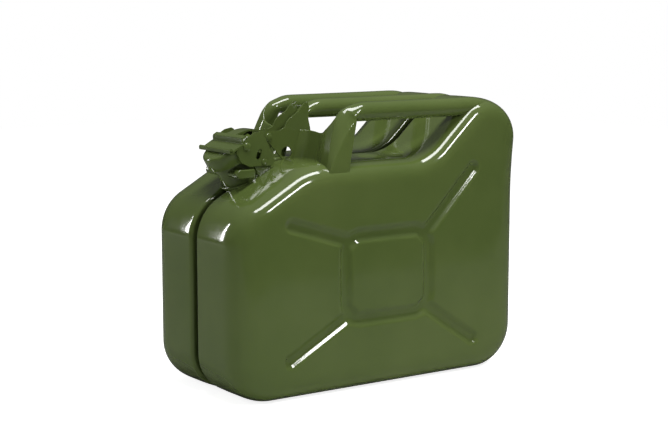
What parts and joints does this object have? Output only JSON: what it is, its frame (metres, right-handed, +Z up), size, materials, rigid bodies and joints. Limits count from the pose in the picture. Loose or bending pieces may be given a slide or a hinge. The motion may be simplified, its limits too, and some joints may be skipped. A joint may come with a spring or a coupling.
{
  "type": "fuel can",
  "caption": "Pressed steel fuel can with tubular carrying handles, a tilted filler neck and a cam lever cap that swings back on a hinge.",
  "frame": {"origin": "middle of the footprint on the ground", "axes": "+Z up, X along the can with the filler neck at -X, Y across it"},
  "size_m": [0.345, 0.165, 0.284],
  "materials": {
    "olive_paint": "high gloss olive green enamel",
    "seal_rubber": "matte",
    "plated_steel": "dull plated"
  },
  "bodies": {
    "can": {"shell_near": "olive_paint", "shell_far": "olive_paint", "seam_weld": "olive_paint", "neck": "olive_paint", "neck_ring": "olive_paint", "neck_ear_near": "olive_paint", "neck_ear_far": "olive_paint", "catch_bracket": "olive_paint", "handle_near": "olive_paint", "handle_center": "olive_paint", "handle_far": "olive_paint", "handle_apron_near": "olive_paint", "handle_apron_far": "olive_paint", "bracket_plate_near": "olive_paint", "bracket_plate_far": "olive_paint", "hinge_pin": "olive_paint", "breather_tube": "plated_steel"},
    "closure": {"closure_lever": "olive_paint", "latch_stud_near": "olive_paint", "latch_stud_far": "olive_paint"},
    "cap": {"cap": "olive_paint", "cap_gasket": "seal_rubber", "gasket_retainer": "plated_steel", "cap_pivot_near": "olive_paint", "cap_pivot_far": "olive_paint"}
  },
  "joints": [
    {"name": "closure_hinge", "type": "hinge", "parent": "can", "child": "closure", "pos_m": [-0.0935, 0, 0.249], "axis": [0, 1, 0], "range_deg": [0, 110]},
    {"name": "cap_swivel", "type": "hinge", "parent": "closure", "child": "cap", "pos_m": [-0.12814, 0, 0.24272], "axis": [0, 1, 0], "range_deg": [-6, 0]}
  ],
  "couplings": [
    {"joint": "cap_swivel", "follows": "closure_hinge", "ratio": -0.05}
  ]
}
